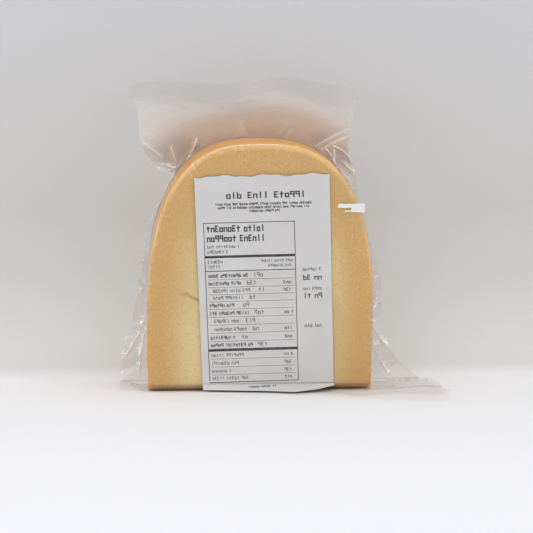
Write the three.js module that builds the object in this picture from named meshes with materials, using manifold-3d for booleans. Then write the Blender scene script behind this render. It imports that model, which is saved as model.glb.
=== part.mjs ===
// A wedge of aged Gouda in a clear vacuum pouch, with a paper scale label stuck on its front.
//
// The wedge is a radial cut from a wheel whose axis runs left to right under the table, so the rind wraps
// over the left side, the top and the right side, and both big faces are knife cuts. It stands on its
// narrow end. The pouch is two sheets of film that cling to the wedge and meet in a welded flap all round;
// the flap at the bottom is folded forwards, under the wedge, and lies on the table. The label runs off the
// bottom of the wedge, and its end rests on that flap.
//
// Millimetres. X is to the right, Y to the back, Z up. The origin is on the table, below the wedge's middle.

import * as THREE from "three";
import { mergeVertices } from "three/addons/utils/BufferGeometryUtils.js";
import Module from "manifold-3d";

const wasm = await Module();
wasm.setup();

// ---- Driving dimensions ----

const wheelRadius = 175;
const wheelThickness = 99;
const bulgeDepth = 84; // how far in from its widest ring the wheel's side starts to round over
const bulgeExponent = 2.7; // 2 is an ellipse, more is squarer
const wedgeLength = 109.3; // along the wheel's radius, from the trimmed end to the crown of the rind
const wedgeHalfAngle = THREE.MathUtils.degToRad(9);
const standHeight = 2.1; // the trimmed end's height above the table, on the folded film
const bevelHeight = 1.6; // of the crushed lower front edge
const bevelDepth = 2.4;

const clearance = 0.3; // between pieces that touch
const filmThickness = 0.4;
const foldRadius = 2; // of the crease where the flap turns from upright to flat
const foldInset = 0.6; // of that crease from the trimmed end's back edge
const flapReach = 42; // how far the bottom flap lies in front of the wedge's middle
const paperThickness = 0.3;

const labelWidth = 58;
const labelLength = 94.3; // on the front face, up from the level of the trimmed end
const labelTail = 9; // lying in front of the wedge
const labelCentre = 1.8; // to the right of the wedge's middle
const labelTilt = THREE.MathUtils.degToRad(2.3);
const labelBend = 1.6; // radius of the paper where it turns from the wedge onto the table

const tabLength = 13;
const tabHeight = 3.6;
const tabFromMiddle = 39; // to the tab's middle, to the right
const tabAlongFace = 80.4; // to the tab's middle, up from the level of the trimmed end

// ---- Places worked out from them ----

const axisHeight = standHeight + wedgeLength - wheelRadius; // of the wheel's axis, below the table
const filmInside = clearance; // distances from the cheese
const filmOutside = filmInside + filmThickness;
const paperInside = filmOutside + clearance;
const paperOutside = paperInside + paperThickness;
const layerInside = clearance / 2; // distances of one sheet's faces from the middle of the doubled flap
const layerOutside = layerInside + filmThickness;
const flapHeight = layerOutside; // of the flap's middle where it lies on the table
const wide = 200; // larger than the object, for cutting bodies
const spare = 10; // how far a cutting body runs past what it cuts

// ---- Helpers ----

// A closed three.js geometry as a manifold-3d solid.
function solid(geometry) {
  const bare = geometry.clone();
  bare.deleteAttribute("normal");
  bare.deleteAttribute("uv");
  const merged = mergeVertices(bare, 1e-4);
  return new wasm.Manifold(
    new wasm.Mesh({
      numProp: 3,
      vertProperties: merged.attributes.position.array,
      triVerts: new Uint32Array(merged.index.array),
    }),
  );
}

// A manifold-3d solid as a named mesh.
function piece(name, body, colour, roughness, opacity = 1) {
  const { vertProperties, triVerts } = body.getMesh();
  const geometry = new THREE.BufferGeometry()
    .setAttribute("position", new THREE.BufferAttribute(vertProperties, 3))
    .setIndex(new THREE.BufferAttribute(triVerts, 1));
  const material = new THREE.MeshStandardMaterial({
    color: colour,
    roughness,
    metalness: 0,
    opacity,
    transparent: opacity < 1,
  });
  const mesh = new THREE.Mesh(geometry.toNonIndexed(), material);
  mesh.name = name;
  return mesh;
}

const points = (pairs) => pairs.map(([a, b]) => new THREE.Vector2(a, b));

// An outline extruded by depth, then laid into the frame: its x, y and depth directions become the ones given.
function prism(outline, depth, across, up, along) {
  const geometry = new THREE.ExtrudeGeometry(new THREE.Shape(outline), {
    depth,
    bevelEnabled: false,
  });
  geometry.translate(0, 0, -depth / 2);
  geometry.applyMatrix4(new THREE.Matrix4().makeBasis(across, up, along));
  return solid(geometry);
}

const X = new THREE.Vector3(1, 0, 0);
const Y = new THREE.Vector3(0, 1, 0);
const Z = new THREE.Vector3(0, 0, 1);

// A side-view outline, in y and z, extruded from left to right.
const sideCut = (outline, width = wide) => prism(outline, width, Y, Z, X);
// A front-view outline, in x and z, extruded from front to back.
const frontCut = (outline) => prism(outline, wide, X, Z, Y.clone().negate());

// The points of a path moved to its left by a distance.
function parallel(path, distance) {
  return path.map((p, i) => {
    const before = path[Math.max(i - 1, 0)];
    const after = path[Math.min(i + 1, path.length - 1)];
    const run = after.clone().sub(before).normalize();
    return new THREE.Vector2(p.x - run.y * distance, p.y + run.x * distance);
  });
}

// The band between two distances to the left of a path.
const band = (path, near, far) => [
  ...parallel(path, near),
  ...parallel(path, far).reverse(),
];

// An anticlockwise outline of straight sides, with every side moved outwards by a distance.
function outset(outline, distance) {
  const sides = outline.map((p, i) => {
    const run = outline[(i + 1) % outline.length].clone().sub(p).normalize();
    return { from: new THREE.Vector2(p.x + run.y * distance, p.y - run.x * distance), run };
  });
  return sides.map(({ from, run }, i) => {
    const before = sides[(i + sides.length - 1) % sides.length];
    const along = from.clone().sub(before.from).cross(run) / before.run.cross(run);
    return before.from.clone().addScaledVector(before.run, along);
  });
}

// ---- The wheel, the knife cuts and the wedge ----

// The whole wheel, grown by a distance all over, turned on its axis.
function wheel(grow) {
  const halfThickness = wheelThickness / 2 + grow;
  const depth = bulgeDepth + grow;
  const steps = 36;
  const profile = [new THREE.Vector2(0, -halfThickness)];
  for (let i = 0; i <= steps; i++) {
    const turn = (i / steps - 0.5) * Math.PI;
    const outward = Math.cos(turn) ** (2 / bulgeExponent);
    const sideways = Math.abs(Math.sin(turn)) ** (2 / bulgeExponent);
    profile.push(
      new THREE.Vector2(
        wheelRadius - bulgeDepth + depth * outward,
        Math.sign(turn) * halfThickness * sideways,
      ),
    );
  }
  profile.push(new THREE.Vector2(0, halfThickness));
  const geometry = new THREE.LatheGeometry(profile, 120);
  geometry.rotateZ(Math.PI / 2); // the lathe's axis becomes X
  geometry.translate(0, 0, axisHeight);
  return solid(geometry);
}

// How far a cut face stands from the middle plane at a height, for a face moved out by a distance.
const halfDepth = (height, grow = 0) =>
  (height - axisHeight) * Math.tan(wedgeHalfAngle) +
  grow / Math.cos(wedgeHalfAngle);

// The wedge, grown by a distance all over.
function wedge(grow) {
  const top = axisHeight + wheelRadius + spare;
  const bevelTop = standHeight + bevelHeight;
  const cuts = points([
    [bevelDepth - halfDepth(bevelTop), standHeight],
    [halfDepth(standHeight), standHeight],
    [halfDepth(top), top],
    [-halfDepth(top), top],
    [-halfDepth(bevelTop), bevelTop],
  ]);
  return wheel(grow).intersect(sideCut(outset(cuts, grow)));
}

// ---- The pouch ----

// The middle of the doubled flap in side view: flat on the table from its front edge to the crease under the
// wedge's back edge, then upright, and leaning back above the crown of the rind.
function flapPath() {
  const creaseEnd = halfDepth(standHeight) - foldInset;
  const creaseStart = creaseEnd - foldRadius;
  const path = points([
    [-flapReach, flapHeight],
    [creaseStart, flapHeight],
  ]);
  const creaseSteps = 6;
  for (let i = 1; i <= creaseSteps; i++) {
    const turn = ((i / creaseSteps) * Math.PI) / 2;
    path.push(
      new THREE.Vector2(
        creaseStart + foldRadius * Math.sin(turn),
        flapHeight + foldRadius * (1 - Math.cos(turn)),
      ),
    );
  }
  const upright = new THREE.SplineCurve(
    points([
      [creaseEnd, flapHeight + foldRadius],
      [creaseEnd, 16],
      [9, 45],
      [7.5, 75],
      [6.5, 100],
      [10, 115],
      [20, 127],
      [34, 138],
    ]),
  );
  return [...path, ...upright.getPoints(28).slice(1)];
}

// The standing part of the flap as seen from the front, clockwise from its bottom right corner.
const standingOutline = new THREE.SplineCurve(
  points([
    [79, 1.2],
    [66, 12],
    [57, 27],
    [55.5, 45],
    [52, 62],
    [46.5, 80],
    [43.5, 91],
    [49, 100],
    [51, 112],
    [50, 126],
    [48, 138],
  ]),
).getPoints(40);
const standingOutlineLeft = new THREE.SplineCurve(
  points([
    [-54, 138],
    [-54.5, 120],
    [-52, 104],
    [-45, 96],
    [-43, 88],
    [-47.5, 76],
    [-52, 60],
    [-54.5, 40],
    [-60, 24],
    [-63, 12],
    [-62, 1.2],
  ]),
).getPoints(40);

// The lying part of the flap as seen from above.
const lyingOutline = [
  [-62, 14],
  [-62, -8],
  [-25, -12],
  [19, -23],
  [75, -flapReach],
  [80, -17],
  [79, 14],
];

// One sheet of the pouch: the skin on its side of the flap, and its layer of the flap.
// side is 1 for the front sheet and -1 for the back sheet.
function sheet(side, inside, outside) {
  const path = flapPath();
  const edge = parallel(path, side * layerInside);
  const first = edge[0];
  const last = edge[edge.length - 1];
  const front = [
    new THREE.Vector2(-wide, first.y),
    ...edge,
    new THREE.Vector2(last.x, wide),
    new THREE.Vector2(-wide, wide),
  ];
  const back = [
    new THREE.Vector2(-wide, first.y),
    ...edge,
    new THREE.Vector2(last.x, wide),
    new THREE.Vector2(wide, wide),
    new THREE.Vector2(wide, -wide),
    new THREE.Vector2(-wide, -wide),
  ];
  const own = sideCut(side > 0 ? front : back);
  const skin = outside.subtract(inside).intersect(own);

  const layer = sideCut(band(path, side * layerInside, side * layerOutside));
  const standing = frontCut([...standingOutline, ...standingOutlineLeft]);
  const lying = prism(points(lyingOutline), 2 * (flapHeight + layerOutside) + clearance, X, Y, Z);
  const flap = layer.intersect(standing.add(lying)).subtract(inside);
  return skin.add(flap);
}

// ---- The label and the tab ----

// The middle of the label's paper in side view: down the front face, past the wedge's bottom edge, and
// forwards over the flap.
function labelPath(distance, top) {
  const lyingHeight = 2 * layerOutside + clearance + paperThickness / 2;
  const bendTop = lyingHeight + labelBend;
  const front = -halfDepth(bendTop, distance);
  const path = points([[-halfDepth(top, distance), top]]);
  const bendSteps = 6;
  for (let i = 0; i <= bendSteps; i++) {
    const turn = ((i / bendSteps) * Math.PI) / 2;
    path.push(
      new THREE.Vector2(
        front - labelBend * (1 - Math.cos(turn)),
        bendTop - labelBend * Math.sin(turn),
      ),
    );
  }
  path.push(new THREE.Vector2(front - labelBend - labelTail, lyingHeight));
  return path;
}

function label() {
  const half = paperThickness / 2;
  const top = standHeight + labelLength * Math.cos(wedgeHalfAngle);
  const strip = sideCut(band(labelPath(paperInside + half, top + spare), -half, half));
  const outline = points([
    [labelCentre - labelWidth / 2, -spare],
    [labelCentre + labelWidth / 2, -spare],
    [labelCentre + labelWidth / 2, top],
    [labelCentre - labelWidth / 2, top],
  ]);
  const middle = new THREE.Vector2(labelCentre, top / 2);
  const tilted = outline.map((corner) => corner.rotateAround(middle, labelTilt));
  return strip.intersect(frontCut(tilted));
}

function tab() {
  const half = paperThickness / 2;
  const low = standHeight + (tabAlongFace - tabHeight / 2) * Math.cos(wedgeHalfAngle);
  const high = low + tabHeight * Math.cos(wedgeHalfAngle);
  const path = points([
    [-halfDepth(high, paperInside + half), high],
    [-halfDepth(low, paperInside + half), low],
  ]);
  const strip = sideCut(band(path, -half, half), tabLength);
  return strip.translate([tabFromMiddle, 0, 0]);
}

// ---- The object ----

const wedgeInsideFilm = wedge(filmInside);
const wedgeOutsideFilm = wedge(filmOutside);

const object = new THREE.Group();
object.add(
  piece("cheese", wedge(0), 0xc9a15c, 0.5),
  piece("bag_front_film", sheet(1, wedgeInsideFilm, wedgeOutsideFilm), 0xe8e6e0, 0.12, 0.2),
  piece("bag_back_film", sheet(-1, wedgeInsideFilm, wedgeOutsideFilm), 0xe8e6e0, 0.12, 0.2),
  piece("label", label(), 0xd0cfcc, 0.6),
  piece("tape_tab", tab(), 0xf2f1ee, 0.4),
);

export default object;
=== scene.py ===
"""A wedge of aged Gouda in a clear vacuum pouch, with a paper scale label on its front.

Metres throughout. X is to the right, Y to the back and Z up, and the wedge stands on z = 0.
"""
import math
import random

import bmesh
import bpy
import numpy as np
from mathutils import Matrix, Vector


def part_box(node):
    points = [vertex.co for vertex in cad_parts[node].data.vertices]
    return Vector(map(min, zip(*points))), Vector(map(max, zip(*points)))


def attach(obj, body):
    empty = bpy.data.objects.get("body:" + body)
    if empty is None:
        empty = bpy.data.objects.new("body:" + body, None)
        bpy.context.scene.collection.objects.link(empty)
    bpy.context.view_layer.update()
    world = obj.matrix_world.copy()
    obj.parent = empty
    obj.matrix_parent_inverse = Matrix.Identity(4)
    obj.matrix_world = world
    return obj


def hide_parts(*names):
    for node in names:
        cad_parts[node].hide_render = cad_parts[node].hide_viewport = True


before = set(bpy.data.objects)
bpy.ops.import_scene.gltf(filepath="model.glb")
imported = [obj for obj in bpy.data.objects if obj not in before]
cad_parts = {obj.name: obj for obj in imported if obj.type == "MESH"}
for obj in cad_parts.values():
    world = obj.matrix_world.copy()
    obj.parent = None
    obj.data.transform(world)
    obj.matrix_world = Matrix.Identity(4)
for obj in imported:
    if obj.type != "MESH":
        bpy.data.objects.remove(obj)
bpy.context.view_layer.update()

# ---------------------------------------------------------------------------------------------------------
# The studio: a white sweep that rises close behind the wedge, a camera a little left of straight ahead, and
# large soft lights. The sweep is seen through from behind, so that the wedge's back can be looked at.

MM = 0.001
CAMERA_AZIMUTH = math.radians(-3.5)
CAMERA_ELEVATION = math.radians(5.5)
CAMERA_DISTANCE = 0.700
CAMERA_AIM = Vector((0.00355, 0, 0.0543))
CAMERA_LENS = 105.9
SWEEP_START = 0.012
SWEEP_RADIUS = 0.075
SWEEP_WIDTH = 3.0
FLOOR_LENGTH = 2.0
WALL_HEIGHT = 1.5


class Wire:
    """A shader socket that adds, multiplies and so on as a number does."""

    tree = None  # the node tree that is being built

    def __init__(self, socket):
        self.socket = socket

    @classmethod
    def node(cls, kind, settings=None, inputs=None):
        """A node of a kind, with its settings and then its sockets' values or links. Returns the node."""
        made = cls.tree.nodes.new("ShaderNode" + kind)
        for name, value in (settings or {}).items():
            setattr(made, name, value)
        for name, value in (inputs or {}).items():
            if isinstance(value, Wire):
                cls.tree.links.new(value.socket, made.inputs[name])
            else:
                made.inputs[name].default_value = value
        return made

    @classmethod
    def out(cls, name, kind, settings=None, inputs=None):
        """One output of a new node, as a Wire."""
        return cls(cls.node(kind, settings, inputs).outputs[name])

    @classmethod
    def math(cls, operation, a, b=0.0, clamp=False):
        return cls.out(0, "Math", {"operation": operation, "use_clamp": clamp}, {0: a, 1: b})

    @classmethod
    def mix(cls, factor, first, second):
        """A colour between two colours."""
        settings = {"data_type": "RGBA", "clamp_factor": True}
        return cls.out(2, "Mix", settings, {0: factor, 6: first, 7: second})

    def __add__(self, other):
        return Wire.math("ADD", self, other)

    def __sub__(self, other):
        return Wire.math("SUBTRACT", self, other)

    def __mul__(self, other):
        return Wire.math("MULTIPLY", self, other)

    def __truediv__(self, other):
        return Wire.math("DIVIDE", self, other)

    def __pow__(self, other):
        return Wire.math("POWER", self, other)

    def __rsub__(self, other):
        return Wire.math("SUBTRACT", other, self)

    def __abs__(self):
        return Wire.math("ABSOLUTE", self)

    __radd__ = __add__
    __rmul__ = __mul__

    def between(self, low, high):
        """0 up to low, 1 from high, and smooth between them."""
        inputs = {"Value": self, "From Min": low, "From Max": high}
        return Wire.out(0, "MapRange", {"interpolation_type": "SMOOTHSTEP"}, inputs)


def new_material(name):
    """A material with an empty node tree, which becomes the one being built."""
    material = bpy.data.materials.new(name)
    material.use_nodes = True
    material.node_tree.nodes.clear()
    Wire.tree = material.node_tree
    return material


def surface(shader):
    """Joins the last shader to the material's output."""
    Wire.node("OutputMaterial", None, {"Surface": shader})


def start_piece():
    """Deselects everything, so that the next operator acts on the new piece alone."""
    if bpy.context.object and bpy.context.object.mode != "OBJECT":
        bpy.ops.object.mode_set(mode="OBJECT")
    bpy.ops.object.select_all(action="DESELECT")


def modify(piece, kind, **settings):
    """Adds a modifier to a piece and applies it."""
    modifier = piece.modifiers.new(kind.title(), kind)
    for name, value in settings.items():
        setattr(modifier, name, value)
    bpy.context.view_layer.objects.active = piece
    with bpy.context.temp_override(object=piece, active_object=piece, selected_objects=[piece]):
        bpy.ops.object.modifier_apply(modifier=modifier.name)


start_piece()
bpy.ops.mesh.primitive_plane_add(size=1)
sweep = bpy.context.object
sweep.name = "sweep"
sweep.data.transform(
    Matrix.Translation((0, SWEEP_START - FLOOR_LENGTH / 2, -0.00002))
    @ Matrix.Diagonal((SWEEP_WIDTH, FLOOR_LENGTH, 1, 1))
)
bpy.ops.object.mode_set(mode="EDIT")
bpy.ops.mesh.select_mode(type="EDGE")
bpy.ops.mesh.select_all(action="DESELECT")
shape = bmesh.from_edit_mesh(sweep.data)
for edge in shape.edges:
    edge.select_set(all(abs(v.co.y - SWEEP_START) < 1e-6 for v in edge.verts))
bmesh.update_edit_mesh(sweep.data)
bpy.ops.mesh.spin(
    steps=32, angle=math.pi / 2, center=(0, SWEEP_START, SWEEP_RADIUS), axis=(-1, 0, 0)
)
bpy.ops.mesh.extrude_edges_move(TRANSFORM_OT_translate={"value": (0, 0, WALL_HEIGHT)})
bpy.ops.object.mode_set(mode="OBJECT")
bpy.ops.object.shade_smooth_by_angle(angle=math.radians(40))
sweep.data.materials.append(new_material("sweep_paper"))
sweep_place = Wire.out("Object", "TexCoord")
back_along, rise = (Wire.out(i, "SeparateXYZ", None, {0: sweep_place}) for i in (1, 2))
# Painted shade: the paper is coloured greyer behind the wedge and up the curve and wall, where less of the
# top light falls.
sweep_colour_and_shade = Wire.mix(
    back_along.between(-0.25, SWEEP_START), (0.93, 0.933, 0.965, 1), (0.895, 0.895, 0.905, 1)
)
sweep_colour_and_shade = Wire.mix(rise.between(0.0, 0.0045), sweep_colour_and_shade, (0.74, 0.735, 0.725, 1))
sweep_colour_and_shade = Wire.mix(rise.between(0.003, 0.05), sweep_colour_and_shade, (0.655, 0.648, 0.64, 1))
sweep_colour_and_shade = Wire.mix(rise.between(0.08, 0.22), sweep_colour_and_shade, (0.64, 0.645, 0.665, 1))
paper = Wire.node("BsdfPrincipled", None, {"Base Color": sweep_colour_and_shade, "Roughness": 0.9})
seen_through = Wire.node("BsdfTransparent")
behind = Wire.out("Backfacing", "NewGeometry")
sides = {0: behind, 1: Wire(paper.outputs[0]), 2: Wire(seen_through.outputs[0])}
surface(Wire.out(0, "MixShader", None, sides))

camera = bpy.data.objects.new("camera", bpy.data.cameras.new("camera"))
bpy.context.collection.objects.link(camera)
bpy.context.scene.camera = camera
camera.data.lens = CAMERA_LENS
back = Vector(
    (
        math.sin(CAMERA_AZIMUTH) * math.cos(CAMERA_ELEVATION),
        -math.cos(CAMERA_AZIMUTH) * math.cos(CAMERA_ELEVATION),
        math.sin(CAMERA_ELEVATION),
    )
)
camera.location = CAMERA_AIM + back * CAMERA_DISTANCE
camera.rotation_euler = (-back).to_track_quat("-Z", "Y").to_euler()
camera.data.clip_start = 0.01


def soft_light(name, place, towards, width, height, power):
    """A large rectangular softbox."""
    data = bpy.data.lights.new(name, "AREA")
    data.shape, data.size, data.size_y, data.energy = "RECTANGLE", width, height, power
    light = bpy.data.objects.new(name, data)
    light.location = place
    light.rotation_euler = (Vector(towards) - Vector(place)).to_track_quat("-Z", "Y").to_euler()
    bpy.context.collection.objects.link(light)


soft_light("top_light", (0, -0.3, 0.95), (0, 0, 0), 1.7, 1.3, 7.0)
soft_light("front_light", (-0.5, -1.1, 0.55), (0, 0, 0.05), 0.7, 0.7, 1.4)
soft_light("left_strip", (-0.8, -0.35, 0.35), (0, 0, 0.06), 0.09, 0.6, 0.9)
soft_light("right_strip", (0.75, -0.5, 0.4), (0, 0, 0.06), 0.09, 0.6, 0.9)

world = bpy.data.worlds.new("studio")
bpy.context.scene.world = world
world.use_nodes = True
world.node_tree.nodes["Background"].inputs["Color"].default_value = (0.6, 0.6, 0.61, 1)
world.node_tree.nodes["Background"].inputs["Strength"].default_value = 0.68
bpy.context.scene.view_settings.view_transform = "Standard"
bpy.context.scene.cycles.transparent_max_bounces = 32

# ---------------------------------------------------------------------------------------------------------
# The cheese: one wedge cut from a wheel whose axis lies left to right below the table. Aged paste, paler in
# the middle, with a thin orange rind over the sides and the top. Both big faces and the end are knife cuts.

cheese_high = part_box("cheese")[1]
WHEEL_RADIUS = 0.175
AXIS_HEIGHT = cheese_high.z - WHEEL_RADIUS
HALF_WIDTH = cheese_high.x
BULGE_DEPTH = 0.084  # how far in from the widest ring the wheel's side starts to round over
BULGE_EXPONENT = 2.7
HALF_ANGLE = math.radians(9)
CHEESE_BOTTOM = 0.0008
BEVEL_TOP = 0.0037  # of the lower front edge, which the wedge's weight has crushed
BEVEL_Y = -0.0107
EDGE_WEAR = 11  # passes of smoothing
PITS = 46


def wheel_profile(turn):
    """Across and outward from the wheel's axis, at a turn round the arch from right (0) to left (pi)."""
    across, up = math.cos(turn), math.sin(turn)
    x = HALF_WIDTH * math.copysign(abs(across) ** (2 / BULGE_EXPONENT), across)
    if up < 0:
        return x, WHEEL_RADIUS - BULGE_DEPTH + up * 0.06
    return x, WHEEL_RADIUS - BULGE_DEPTH + BULGE_DEPTH * up ** (2 / BULGE_EXPONENT)


start_piece()
bpy.ops.mesh.primitive_circle_add(vertices=360, radius=1, fill_type="NGON")
cheese = bpy.context.object
cheese.name = "cheese_wedge"
for vertex in cheese.data.vertices:
    across, outward = wheel_profile(math.atan2(vertex.co.y, vertex.co.x))
    if vertex.co.y < 0:
        across = math.copysign(HALF_WIDTH, vertex.co.x) if abs(vertex.co.x) > 0.2 else vertex.co.x * 0.2
    vertex.co = (across, 0, AXIS_HEIGHT + outward)
axis_point = Vector((0, 0, AXIS_HEIGHT))
to_axis = Matrix.Translation(axis_point)
cheese.data.transform(to_axis @ Matrix.Rotation(-HALF_ANGLE, 4, "X") @ to_axis.inverted())
bpy.ops.object.mode_set(mode="EDIT")
bpy.ops.mesh.select_all(action="SELECT")
bpy.ops.mesh.spin(steps=36, angle=2 * HALF_ANGLE, center=axis_point, axis=(-1, 0, 0))
bpy.ops.mesh.select_all(action="SELECT")
bpy.ops.mesh.remove_doubles(threshold=1e-6)
bpy.ops.mesh.select_all(action="SELECT")
bpy.ops.mesh.bisect(
    plane_co=(0, 0, CHEESE_BOTTOM), plane_no=(0, 0, -1), use_fill=True, clear_outer=True
)
bpy.ops.mesh.select_all(action="SELECT")
bpy.ops.mesh.bisect(
    plane_co=(0, BEVEL_Y, BEVEL_TOP), plane_no=(0, -1, -0.95), use_fill=True, clear_outer=True
)
bpy.ops.mesh.select_all(action="SELECT")
bpy.ops.mesh.normals_make_consistent(inside=False)
bpy.ops.object.mode_set(mode="OBJECT")
modify(cheese, "REMESH", mode="VOXEL", voxel_size=0.00066, adaptivity=0)
modify(cheese, "SMOOTH", factor=0.5, iterations=EDGE_WEAR)



def distance_to(line, x, z):
    """How far places are from a line through points."""
    away = np.full(x.shape, np.inf)
    for (x1, z1), (x2, z2) in zip(line, line[1:]):
        length = math.hypot(x2 - x1, z2 - z1)
        along = np.clip(((x - x1) * (x2 - x1) + (z - z1) * (z2 - z1)) / length**2, 0, 1)
        away = np.minimum(away, np.hypot(x - x1 - along * (x2 - x1), z - z1 - along * (z2 - z1)))
    return away


# A shallow crack beside the label, and small pits where the knife dragged crumbs out of the faces.
crack_line = [
    (-35.4, 44.2), (-33.4, 43.6), (-32.2, 44.1), (-30.6, 42.9), (-29.0, 42.0), (-27.4, 41.4), (-25, 40.6),
]  # fmt: skip
spots = np.array([vertex.co for vertex in cheese.data.vertices]) / MM
front = spots[:, 1] + (spots[:, 2] - AXIS_HEIGHT / MM) * math.tan(HALF_ANGLE) < 1.0
crack_width = np.clip(1.15 - distance_to(crack_line, spots[:, 0], spots[:, 2]) / 0.8, 0, 1)
cracked = np.where(front, crack_width * np.clip((spots[:, 0] + 36.5) / 4, 0, 1), 0)
pit_chance = np.random.default_rng(3)
pitted = np.zeros(len(spots))
for _ in range(PITS):
    x, z = pit_chance.uniform(-44, 44), pit_chance.uniform(8, 104)
    wide, tall = pit_chance.uniform(0.5, 1.3), pit_chance.uniform(0.4, 0.9)
    reach = np.hypot((spots[:, 0] - x) / wide, (spots[:, 2] - z) / tall)
    which = front if pit_chance.random() < 0.5 else ~front
    pitted = np.maximum(pitted, np.where(which, np.clip(1 - reach, 0, 1), 0))
inwards = np.sign(-spots[:, 1]) * (0.7 * cracked + 0.35 * pitted)
for vertex, step in zip(cheese.data.vertices, inwards):
    vertex.co.y += step * MM
# Painted shade: the crack and the pits are also darkened in colour, as shade falls into them.
painted_crack_shade = cheese.data.attributes.new("crack", "FLOAT", "POINT")
painted_crack_shade.data.foreach_set("value", np.clip(cracked * 1.2 + pitted * 0.3, 0, 1))
bpy.ops.object.shade_smooth()
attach(cheese, "root")
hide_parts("cheese")

cheese.data.materials.append(new_material("aged_paste"))
place = Wire.out("Object", "TexCoord")
across, depth, height = (
    Wire.out(i, "SeparateXYZ", None, {0: place}) for i in range(3)
)
outward = Wire.math("SQRT", depth * depth + (height - AXIS_HEIGHT) ** 2)
side_part = (abs(across) / HALF_WIDTH) ** BULGE_EXPONENT
top_part = Wire.math("MAXIMUM", (outward - (WHEEL_RADIUS - BULGE_DEPTH)) / BULGE_DEPTH, 0)
roundness = (side_part + top_part**BULGE_EXPONENT) ** (1 / BULGE_EXPONENT)  # 1 on the rind
slow = Wire.out("Fac", "TexNoise", None, {"Vector": place, "Scale": 60, "Detail": 3})
fine = Wire.out("Fac", "TexNoise", None, {"Vector": place, "Scale": 420, "Detail": 6})
edge_place = roundness + (slow - 0.5) * 0.06 + (fine - 0.5) * 0.05
ochre = edge_place.between(0.6, 0.88)
rind = edge_place.between(0.975, 0.995)
colour = Wire.mix(ochre, (0.83, 0.655, 0.335, 1), (0.70, 0.415, 0.124, 1))
grain = Wire.out("Fac", "TexNoise", None, {"Vector": place, "Scale": 1100, "Detail": 3})
colour = Wire.mix(grain.between(0.52, 0.72) * 0.45, colour, (0.87, 0.675, 0.35, 1))
colour = Wire.mix(grain.between(0.46, 0.3) * 0.4, colour, (0.55, 0.33, 0.11, 1))
blotches = Wire.out("Fac", "TexNoise", None, {"Vector": place, "Scale": 26, "Detail": 4})
colour = Wire.mix(blotches.between(0.38, 0.72) * 0.55, colour, (0.63, 0.415, 0.145, 1))
rind_colour = Wire.mix(fine.between(0.3, 0.7), (0.77, 0.315, 0.042, 1), (0.86, 0.43, 0.085, 1))
colour = Wire.mix(rind, colour, rind_colour)
# Painted highlight: a pale band along the rounded edges of the cut faces, on the rind and in the upper part,
# where the edge catches the light.
face_depth = (height - AXIS_HEIGHT) * math.tan(HALF_ANGLE)
from_edge = abs(abs(depth) - face_depth)
painted_edge_highlight = (1 - from_edge.between(0.0002, 0.0019)) * roundness.between(0.965, 0.99)
painted_edge_highlight = painted_edge_highlight * (0.35 + 0.65 * slow.between(0.35, 0.6)) * height.between(0.03, 0.075)
colour = Wire.mix(painted_edge_highlight * 0.8, colour, (0.94, 0.66, 0.29, 1))
# Painted shade in the crack and the pits.
crack = Wire.out("Fac", "Attribute", {"attribute_name": "crack"})
colour = Wire.mix(crack * 0.62, colour, (0.46, 0.3, 0.12, 1))
bump = Wire.out(
    0, "Bump", None, {"Strength": 0.25, "Distance": 0.0004, "Height": fine + slow * 0.5}
)
cheese_shader = Wire.node(
    "BsdfPrincipled",
    None,
    {
        "Base Color": colour,
        "Roughness": 0.45,
        "Subsurface Weight": 0.25,
        "Subsurface Radius": (1.0, 0.55, 0.2),
        "Subsurface Scale": 0.003,
        "Normal": bump,
    },
)
surface(Wire(cheese_shader.outputs[0]))

# ---------------------------------------------------------------------------------------------------------
# The pouch: two sheets of clear film, drawn tight over the wedge by the vacuum and welded together in a flap
# all round it. The flap stands up at the sides, leans back above the wedge, and is folded forwards under it.
# Each sheet is one grid of rays, from the middle of a cut face out to the pouch's edge. Millimetres here.

FILM_GAP = 0.28  # off the cheese
SHEET_GAP = 0.13  # of each sheet from the middle of the flap
FLAP_HEIGHT = 0.34  # of the middle of the flap where it lies on the table
FOLD_AT = 7.8  # how far back the flap's fold starts
FOLD_RADIUS = 2
RUN_START_Y = 8  # where the length along the flap is zero, which is on the table
SIDE_STEPS = 24  # between two points of the flap's side view
UPRIGHT_FROM = 90  # of the side view's steps, inside the fold
ARCH_STEPS, STRAIGHT_STEPS, BOTTOM_STEPS = 1200, 119, 498
RAYS = 860
half_width, wheel_radius, axis_height = HALF_WIDTH / MM, WHEEL_RADIUS / MM, AXIS_HEIGHT / MM
bulge = BULGE_DEPTH / MM
underside = CHEESE_BOTTOM / MM - FILM_GAP


def through(points, steps):
    """A smooth curve through rows of numbers, with some steps from each row to the next."""
    rows = np.array(points, float)
    padded = np.vstack((2 * rows[0] - rows[1], rows, 2 * rows[-1] - rows[-2]))
    a, b, c, d = (padded[i : len(rows) - 1 + i, None] for i in range(4))
    t = (np.arange(steps) / steps)[None, :, None]
    line = 2 * b + (c - a) * t + (2 * a - 5 * b + 4 * c - d) * t**2 + (3 * b - a - 3 * c + d) * t**3
    return np.vstack((line.reshape(-1, rows.shape[1]) / 2, rows[-1:]))


def ramp(value, low, high):
    """0 up to low, 1 from high, and straight between them."""
    return np.clip((value - low) / (high - low), 0, 1)


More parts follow.
